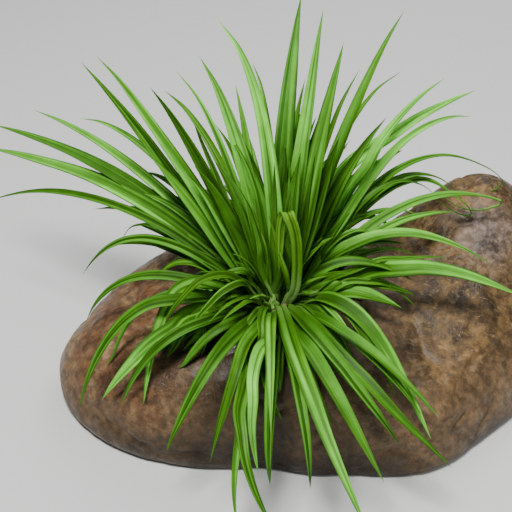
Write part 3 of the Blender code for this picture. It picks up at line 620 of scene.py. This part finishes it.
rootlets = dict(count=22, length=(26, 62), jitter=(-8, 8), bend=(-40, 40),
                start=20, radius=0.7 * mm, tip=0.25 * mm, sides=5)
fibres = dict(count=70, length=(9, 24), rim=(0.5, 0.8), height=(94, 101), turn=(-35, 35), arch=(2, 8),
              radius=(0.6, 1.1), tip=0.2, stations=10, sides=5, flatten=0.5)


def ballSkin(middle, radii, seed):
    # A lumpy ball: its radius swells and shrinks with noise.
    around = np.arange(ball["sides"]) * 2 * math.pi / ball["sides"]
    up = np.linspace(-0.5 * math.pi, 0.5 * math.pi, ball["rings"])[1:-1]
    rise, turn = np.meshgrid(up, around, indexing="ij")
    direction = np.stack((np.cos(rise) * np.cos(turn), np.cos(rise) * np.sin(turn), np.sin(rise)), axis=-1)
    swell = 1 + ball["lumpHeight"] * latticeNoise(direction + seed, ball["lumpSize"], seed)
    rows = middle + direction * radii * swell[..., None]
    top = middle + np.array((0, 0, 1)) * radii
    return closedSkin(rows, top, around / (2 * math.pi), up / math.pi + 0.5)


def rootSkin(bearing, length, bend, kind):
    # A root that leaves the crown along its bearing, winds a little and lies half sunk on the stone.
    along = np.linspace(0, 1, 60)
    angle = np.radians(bearing + bend * along ** 1.5 + 3 * np.sin(9 * along + bearing))
    reach = (kind["start"] + (length - kind["start"]) * along) * mm
    radii = kind["radius"] + (kind["tip"] - kind["radius"]) * along
    x, y = centre[0] + reach * np.cos(angle), centre[1] + reach * np.sin(angle)
    return tubeSkin(onStone(x, y, 0.5 * radii), radii, kind["sides"])


def stemSkin():
    # The creeping stem: a smooth line over the stone, with the rings of old leaves and rounded ends.
    knots = np.arange(len(rhizome["stem"]), dtype=float)
    places = np.linspace(0, knots[-1], rhizome["stemStations"])
    flat = splineThrough(knots, np.array(rhizome["stem"], float), places) * mm + centre[:2]
    line = onStone(flat[:, 0], flat[:, 1], 0.25 * rhizome["stemRadius"])
    along = np.linspace(0, 1, len(line))
    rings = 1 + rhizome["ringHeight"] * np.abs(np.sin(math.pi * along * rhizome["stemRings"])) ** 0.5
    ends = np.sqrt(1 - (2 * along - 1) ** 8) * 0.9 + 0.1
    return tubeSkin(line, rhizome["stemRadius"] * rings * ends, rhizome["stemSides"])


def stemEndSkin(place, radius):
    # A short brown side stem, from the crown's middle to its blunt end between the leaves' feet.
    share = np.linspace(0, 1, rhizome["endStations"])
    rings = 1 + rhizome["ringHeight"] * np.sin(8 * math.pi * share)
    line = centre + share[:, None] * np.array(place) * mm
    return tubeSkin(line, radius * mm * np.sqrt(1 - share ** 12) * rings, rhizome["endSides"])


def fibreSkin(random):
    # An old sheath's fibre: it leaves the crown's rim, arches in a parabola and droops to the stone.
    bearing, length = random.uniform(0, 360), random.uniform(*fibres["length"]) * mm
    start = centre + bearingOf(bearing) * crown["radii"] * random.uniform(*fibres["rim"])
    start[2] = random.uniform(*fibres["height"]) * mm
    share = np.linspace(0, 1, fibres["stations"])[:, None]
    line = start + bearingOf(bearing + random.uniform(*fibres["turn"])) * length * share
    line[:, 2] += (random.uniform(*fibres["arch"]) * share * (1 - share) * 4 * mm)[:, 0]
    line = keptAboveStone(line, clearances["fibre"])
    radii = np.interp(share[:, 0], (0, 1), (random.uniform(*fibres["radius"]), fibres["tip"])) * mm
    return tubeSkin(line, radii, fibres["sides"], fibres["flatten"])


def buildRhizome(material, fibrous):
    # The stem with its swollen head, stubs, side stems and roots, then the rootlets and fibres.
    random = np.random.default_rng(8)
    skins = [stemSkin(), ballSkin(rhizome["headMiddle"], rhizome["headRadii"], rhizome["headSeed"])]
    for number, (x, y, radius) in enumerate(rhizome["stubs"]):
        middle = onStone(*(centre[:2] + np.array((x, y)) * mm), 0.4 * radius * mm)
        skins.append(ballSkin(middle, rhizome["stubShape"] * radius * mm, rhizome["stubSeed"] + number))
    skins += [stemEndSkin(place, radius) for *place, radius in rhizome["stemEnds"]]
    skins += [rootSkin(*row, roots) for row in roots["rows"]]
    makePiece("rhizomeBark", skins, material, ["rhizome"])
    skins = []
    for number in range(rootlets["count"]):
        bearing = 360 * number / rootlets["count"] + random.uniform(*rootlets["jitter"])
        length, bend = random.uniform(*rootlets["length"]), random.uniform(*rootlets["bend"])
        skins.append(rootSkin(bearing, length, bend, rootlets))
    skins += [fibreSkin(random) for _ in range(fibres["count"])]
    makePiece("rootlets_and_fibres", skins, fibrous)
    print("rhizome made")


# Materials

class Wiring:
    # Short calls for a node tree. What goes into a node is a value or the socket of another.
    def __init__(self, tree):
        self.tree = tree

    def node(self, kind, **settings):
        made = self.tree.nodes.new("ShaderNode" + kind)
        for key, value in settings.items():
            setattr(made, key, value)
        return made

    def link(self, output, target, socket):
        self.tree.links.new(output, target.inputs[socket])

    def feed(self, target, socket, value):
        if isinstance(value, bpy.types.NodeSocket):
            self.link(value, target, socket)
        else:
            target.inputs[socket].default_value = value

    def fed(self, kind, *values, **settings):
        # The outputs of a new node whose first inputs are fed in turn.
        made = self.node(kind, **settings)
        for place, value in enumerate(values):
            self.feed(made, place, value)
        return made.outputs

    def maths(self, operation, a, b=0.0, clamp=False):
        return self.fed("Math", a, b, operation=operation, use_clamp=clamp)[0]

    def times(self, a, b, clamp=False):
        return self.maths("MULTIPLY", a, b, clamp)

    def mix(self, share, *colours, blend="MIX"):
        colours = [(*value, 1.0) if isinstance(value, tuple) else value for value in colours]
        return self.fed("MixRGB", share, *colours, blend_type=blend)[0]

    def tinted(self, colour, *gains):
        for gain in gains:
            colour = self.mix(1.0, colour, gain, blend="MULTIPLY")
        return colour

    def spread(self, value, low, high, start=0.0, end=1.0):
        # Maps low..high to start..end, smoothly and without going past.
        return self.fed("MapRange", value, low, high, start, end, interpolation_type="SMOOTHSTEP")[0]

    def noise(self, vector, scale, detail, roughness, distortion=0.0):
        made = self.node("TexNoise")
        named = dict(Vector=vector, Scale=scale, Detail=detail, Roughness=roughness, Distortion=distortion)
        for socket, value in named.items():
            self.feed(made, socket, value)
        return made.outputs[0]

    def ramp(self, value, colours, *stops):
        # Runs through the named colours from place to place.
        made = self.node("ValToRGB")
        self.feed(made, 0, value)
        elements = made.color_ramp.elements
        while len(elements) < len(stops):
            elements.new(1.0)
        for element, (place, name) in zip(elements, stops):
            element.position = place
            element.color = (*colours[name], 1.0)
        return made.outputs[0]


def effectGroup(name, inputs, outputs):
    # A shader node group with named sockets: (name, kind, default) going in and names of numbers coming out.
    tree = bpy.data.node_groups.new(name, "ShaderNodeTree")
    for label, kind, default in inputs:
        socket = tree.interface.new_socket(label, in_out="INPUT", socket_type="NodeSocket" + kind)
        if default is not None:
            socket.default_value = default
    for label in outputs:
        tree.interface.new_socket(label, in_out="OUTPUT", socket_type="NodeSocketFloat")
    return tree, Wiring(tree), tree.nodes.new("NodeGroupInput"), tree.nodes.new("NodeGroupOutput")


def placeGroup(net, tree, **values):
    made = net.node("Group", node_tree=tree)
    for label, value in values.items():
        net.feed(made, label, value)
    return made.outputs


def makeRibs():
    # Marks along a blade, a root or a fibre: noise stretched along the map's length, in three widths.
    tree, net, inside, outside = effectGroup(
        "lengthwiseRibs", (("Map", "Vector", None), ("Count", "Float", 24.0), ("Seed", "Float", 0.0)),
        ("Ribs", "Bands", "Slow"))
    across, along, _ = net.fed("SeparateXYZ", inside.outputs["Map"])
    seed = inside.outputs["Seed"]
    for label, count, pull, shift, *kind in (
            ("Ribs", inside.outputs["Count"], 1.4, 0, 2.0, 0.55), ("Bands", 3.2, 0.9, 7.0, 1.5, 0.45, 0.2),
            ("Slow", 0.8, 5.0, 15.0, 2.0, 0.5)):
        place = (net.times(across, count), net.times(along, pull),
                 net.maths("ADD", seed, shift) if shift else seed)
        net.link(net.noise(net.fed("CombineXYZ", *place)[0], 1.0, *kind), outside, label)
    return tree


def makeMottle():
    # Cloudy patches over fine grain, both from the place on the object.
    tree, net, inside, outside = effectGroup(
        "mottle", (("Place", "Vector", None), ("Size", "Float", 30.0), ("Grain", "Float", 500.0)),
        ("Patches", "Grain"))
    place = inside.outputs["Place"]
    net.link(net.noise(place, inside.outputs["Size"], 6.0, 0.6, 0.3), outside, "Patches")
    net.link(net.noise(place, inside.outputs["Grain"], 3.0, 0.7), outside, "Grain")
    return tree


def startMaterial(name, **constants):
    material = bpy.data.materials.new(name)
    material.use_nodes = True
    shader = material.node_tree.nodes["Principled BSDF"]
    for socket, value in constants.items():
        shader.inputs[socket.replace("_", " ")].default_value = value
    return material, Wiring(material.node_tree), shader


def bumped(net, shader, height, strength, distance):
    bump = net.node("Bump")
    net.link(height, bump, "Height")
    bump.inputs["Strength"].default_value = strength
    bump.inputs["Distance"].default_value = distance
    net.link(bump.outputs[0], shader, "Normal")


# Greens of a blade. The base and deep greens are partly painted shade low in the crowded crown, and the light
# green is painted light on the lit bands and bent-over outer parts.
leafColours = dict(
    heart=(0.06, 0.13, 0.008), pale=(0.3, 0.54, 0.13), base=(0.037, 0.118, 0.003), deep=(0.039, 0.138, 0.004),
    fresh=(0.056, 0.188, 0.007), tip=(0.047, 0.16, 0.007), light=(0.23, 0.7, 0.085), young=(0.14, 0.34, 0.01),
    dry=(0.42, 0.33, 0.17))


def makeLeafMaterial(name, ribs, mottle, paleness, youth):
    # Green blade: its green is deeper and dimmer towards its base, partly as painted shade in the crowded
    # crown. Broad light and dark bands along it are painted light and shade of its folded halves, its outer
    # part is brighter as painted light where it bends over and faces up, and it has a soft gloss.
    # The look attribute gives each leaf its tone, which is partly painted light and shade, its yellowness
    # and whether its tip has dried.
    material, net, shader = startMaterial(name, Specular_IOR_Level=0.09)
    uv = net.node("UVMap", uv_map="surface").outputs[0]
    look = net.node("Attribute", attribute_name="look").outputs["Vector"]
    tone, yellow, dry = net.fed("SeparateXYZ", look)
    across, along, _ = net.fed("SeparateXYZ", uv)
    place = net.node("TexCoord").outputs["Object"]
    striped = placeGroup(net, ribs, Map=uv, Count=22.0, Seed=net.times(tone, 31.0))
    mottled = placeGroup(net, mottle, Place=place, Size=55.0, Grain=900.0)
    # Painted shade, in part: the ramp runs from the heart through the dim base and deep greens to fresh
    # green.
    colour = net.ramp(along, leafColours, (0.0, "heart"), (0.07, "base"), (0.16, "deep"), (0.42, "fresh"),
                      (0.8, "fresh"), (1.0, "tip"))
    bleached = net.maths("ADD", net.times(yellow, 0.8), paleness, clamp=True)
    paleEnd = net.maths("ADD", net.times(yellow, 0.35), 0.12)
    bleached = net.times(net.spread(along, paleEnd, 0.05), bleached)
    colour = net.mix(bleached, colour, leafColours["pale"])
    youngShare = net.maths("ADD", yellow, youth, clamp=True)
    youngShare = net.times(youngShare, net.spread(along, 0.08, 0.4))
    colour = net.mix(youngShare, colour, leafColours["young"])
    # Painted light: the bands' light share beyond the base, more on bright-toned leaves, and the outer part
    # of bright-toned leaves where it bends over and faces up, are mixed towards the light green.
    paintedLight = net.spread(striped["Bands"], 0.47, 0.62)
    paintedLight = net.times(paintedLight, net.spread(along, 0.1, 0.5, 0.08, 0.9))
    paintedLight = net.times(paintedLight, net.spread(tone, -0.4, 0.55, 0.25, 0.9))
    paintedLightOuter = net.times(net.spread(along, 0.25, 0.75), net.spread(tone, -0.05, 0.6, 0.0, 0.5))
    paintedLight = net.maths("MAXIMUM", paintedLight, paintedLightOuter)
    colour = net.mix(paintedLight, colour, leafColours["light"])
    # Painted shade: the bands' dark share, for the shaded half of a folded blade.
    paintedShade = net.spread(striped["Bands"], 0.49, 0.37, 1.0, 0.45)
    ribbed = net.spread(striped["Ribs"], 0.3, 0.7, 0.9, 1.1)
    slow = net.spread(striped["Slow"], 0.3, 0.7, 0.84, 1.16)
    fromCrease = net.maths("ABSOLUTE", net.maths("SUBTRACT", across, 0.5))
    crease = net.times(net.spread(fromCrease, 0.0, 0.07, 0.66, 1.0),
                       net.spread(fromCrease, 0.5, 0.38, 0.62, 1.0))
    patches = net.spread(mottled["Patches"], 0.3, 0.7, 0.88, 1.12)
    # The tone's gain, partly painted light and shade: lit leaves are set brighter and shaded ones dimmer.
    gain = net.maths("POWER", 2.0, net.times(tone, 0.75))
    colour = net.tinted(colour, paintedShade, ribbed, slow, crease, patches, gain)
    ragged = net.maths("ADD", along, net.times(striped["Ribs"], 0.03))
    dried = net.times(net.spread(ragged, 0.965, 0.995), dry, clamp=True)
    colour = net.mix(dried, colour, leafColours["dry"])
    net.link(colour, shader, "Base Color")
    net.link(net.spread(striped["Ribs"], 0.3, 0.7, 0.38, 0.5), shader, "Roughness")
    bumped(net, shader, striped["Ribs"], 0.25, 0.0002)
    return material


stoneColours = dict(
    dark=(0.02, 0.014, 0.008), brown=(0.085, 0.049, 0.02), tan=(0.19, 0.112, 0.05), pale=(0.28, 0.195, 0.11),
    reddish=(0.16, 0.066, 0.028), sandy=(0.42, 0.265, 0.125), golden=(0.24, 0.135, 0.042),
    grey=(0.25, 0.22, 0.23))
stonePatch = dict(middle=(0.162, 0.036, 0.137), radius=0.045)  # the lavender grey one on the hump


def makeStoneMaterial(mottle):
    # Wet stream stone: brown patches, sandy and reddish on the low lobe, golden streaks and pale grey
    # patches on the hump, dark below the crown as painted shade under the tuft, and dimmer towards its foot
    # as painted shade.
    material, net, shader = startMaterial("wetStone", Coat_Weight=0.12, Coat_Roughness=0.35,
                                          Specular_IOR_Level=0.3)
    place = net.node("TexCoord").outputs["Object"]
    x, y, z = net.fed("SeparateXYZ", place)
    wide = placeGroup(net, mottle, Place=place, Size=14.0, Grain=330.0)
    middle = placeGroup(net, mottle, Place=place, Size=48.0, Grain=700.0)
    fine = placeGroup(net, mottle, Place=place, Size=170.0, Grain=1500.0)
    colour = net.ramp(wide["Patches"], stoneColours, (0.32, "dark"), (0.46, "brown"), (0.6, "tan"),
                      (0.78, "pale"))
    lobe = net.times(net.spread(x, -0.05, -0.12), net.spread(z, 0.015, 0.06))
    sandy = net.ramp(middle["Patches"], stoneColours, (0.34, "brown"), (0.46, "reddish"),
                     (0.56, "tan"), (0.7, "sandy"))
    colour = net.mix(net.times(lobe, 0.85), colour, sandy)
    hump = net.times(net.spread(x, 0.05, 0.12), net.spread(z, 0.03, 0.09))
    golden = net.ramp(middle["Patches"], stoneColours, (0.32, "dark"), (0.45, "brown"),
                      (0.6, "golden"), (0.78, "tan"))
    colour = net.mix(net.times(hump, 0.8), colour, golden)
    bent = net.mix(0.02, place, net.noise(place, 40.0, 2.0, 0.5))
    bent = net.fed("Mapping", bent, (0, 0, 0), (0.2, 0.5, 0.9), (130, 420, 130))[0]
    streakMask = net.spread(net.noise(bent, 1.0, 5.0, 0.7, 0.2), 0.52, 0.68)
    share = net.times(net.spread(hump, 0.0, 1.0, 0.15, 0.5), streakMask)
    colour = net.mix(share, colour, stoneColours["sandy"])
    fromPatch = net.fed("VectorMath", place, stonePatch["middle"], operation="DISTANCE")["Value"]
    paled = net.spread(fromPatch, stonePatch["radius"], 0.2 * stonePatch["radius"])
    paled = net.times(paled, net.spread(middle["Patches"], 0.3, 0.6, 0.25, 1.0))
    paled = net.times(paled, net.spread(fine["Patches"], 0.3, 0.7, 0.4, 1.0))
    colour = net.mix(net.times(paled, 0.75), colour, stoneColours["grey"])
    speckle = net.spread(fine["Patches"], 0.35, 0.65, 0.6, 1.3)
    colour = net.tinted(colour, speckle, net.spread(fine["Grain"], 0.35, 0.65, 0.8, 1.2))
    # Painted shade: dark below the crown, under the tuft and its hanging front leaves.
    fromCrown = net.maths("ABSOLUTE", net.maths("ADD", x, 0.01))
    under = net.times(net.spread(fromCrown, 0.13, 0.05), net.spread(y, 0.03, -0.06))
    colour = net.mix(net.times(under, 0.55), colour, stoneColours["dark"])
    # Painted shade: dimmer towards the stone's foot.
    colour = net.tinted(colour, net.spread(z, 0.0, 0.05, 0.6, 1.0))
    net.link(colour, shader, "Base Color")
    net.link(net.spread(middle["Patches"], 0.35, 0.65, 0.28, 0.6), shader, "Roughness")
    height = net.maths("ADD", net.times(fine["Patches"], 0.8), wide["Grain"])
    height = net.maths("ADD", height, net.times(streakMask, 0.3))
    bumped(net, shader, height, 0.7, 0.0014)
    return material


barkColours = dict(rhizomeBark=((0.055, 0.023, 0.011), (0.2, 0.095, 0.042)),
                   fibreBrown=((0.09, 0.05, 0.02), (0.3, 0.19, 0.09)))


def makeBarkMaterial(name, ribs, mottle):
    # Fibrous bark of the rhizome, its roots and old sheaths, from its dark colour to its light one.
    material, net, shader = startMaterial(name, Roughness=0.6)
    place = net.node("TexCoord").outputs["Object"]
    uv = net.node("UVMap", uv_map="surface").outputs[0]
    striped = placeGroup(net, ribs, Map=uv, Count=14.0, Seed=3.0)
    mottled = placeGroup(net, mottle, Place=place, Size=140.0, Grain=1400.0)
    share = net.times(net.spread(striped["Ribs"], 0.3, 0.7),
                      net.spread(mottled["Patches"], 0.25, 0.75))
    net.link(net.mix(share, *barkColours[name]), shader, "Base Color")
    bumped(net, shader, net.maths("ADD", striped["Ribs"], mottled["Grain"]), 0.5, 0.0004)
    return material


# Light, floor and camera

studio = dict(
    elevation=38.0, lens=85.0, sensor=36.0, distance=950 * mm, crownPixel=(278, 308), frameWidth=512,
    clip=(0.05, 30), floorSize=8.0, floorColour=(0.72, 0.72, 0.7), aim=(0, 0, 0.12),
    lights=(("keyLight", (-0.25, -0.45, 1.55), 0.45, 32), ("fillLight", (1.1, -0.8, 1.0), 1.2, 5),
            ("backLight", (0.4, 1.1, 1.3), 0.8, 11)),
    worldColour=(0.8, 0.86, 0.9), worldStrength=0.16)


def makeCamera():
    # Looks down at the crown by the elevation, moved so that the crown falls on its pixel of the frame.
    tilt = math.radians(studio["elevation"])
    look = np.array((0, math.cos(tilt), -math.sin(tilt)))
    up = np.array((0, math.sin(tilt), math.cos(tilt)))
    perPixel = studio["distance"] / (studio["lens"] / studio["sensor"] * studio["frameWidth"])
    middle = studio["frameWidth"] / 2
    place = centre - studio["distance"] * look
    place = place - (studio["crownPixel"][0] - middle) * perPixel * np.array((1, 0, 0))
    place = place + (studio["crownPixel"][1] - middle) * perPixel * up
    data = bpy.data.cameras.new("photoCamera")
    data.lens, data.sensor_width = studio["lens"], studio["sensor"]
    data.clip_start, data.clip_end = studio["clip"]
    camera = placed("photoCamera", data)
    camera.location = place
    camera.rotation_euler = (math.radians(90 - studio["elevation"]), 0, 0)
    bpy.context.scene.camera = camera


def makeStudio():
    # A pale floor, three round lamps that point at the middle of the tuft, and a soft sky.
    side = studio["floorSize"] / 2
    mesh = bpy.data.meshes.new("paleFloor")
    corners = [(-side, -side, 0), (side, -side, 0), (side, side, 0), (-side, side, 0)]
    mesh.from_pydata(corners, [], [(0, 1, 2, 3)])
    material, _, _ = startMaterial("paleFloor", Roughness=0.8, Base_Color=(*studio["floorColour"], 1))
    mesh.materials.append(material)
    floor = placed("paleFloor", mesh)
    for name, place, size, power in studio["lights"]:
        data = bpy.data.lights.new(name, "AREA")
        data.shape, data.size, data.energy = "DISK", size, power
        lamp = placed(name, data)
        lamp.location = place
        aim = np.array(studio["aim"]) - np.array(place)
        tilt = math.acos(-aim[2] / np.linalg.norm(aim))
        lamp.rotation_euler = (tilt, 0, math.atan2(aim[1], aim[0]) - math.pi / 2)
    world = bpy.data.worlds.new("softSky")
    world.use_nodes = True
    background = world.node_tree.nodes["Background"]
    background.inputs[0].default_value = (*studio["worldColour"], 1)
    background.inputs[1].default_value = studio["worldStrength"]
    bpy.context.scene.world = world


def main():
    makeCamera()
    makeStudio()
    ribs, mottle = makeRibs(), makeMottle()
    bark = makeBarkMaterial("rhizomeBark", ribs, mottle)
    fibrous = makeBarkMaterial("fibreBrown", ribs, mottle)
    buildStone(makeStoneMaterial(mottle))
    print("stone made")
    buildRhizome(bark, fibrous)
    leafGreen = makeLeafMaterial("leafGreen", ribs, mottle, paleness=0.15, youth=0.0)
    youngGreen = makeLeafMaterial("youngLeafGreen", ribs, mottle, paleness=0.4, youth=0.15)
    buildLeaves(leafGreen, youngGreen)


main()
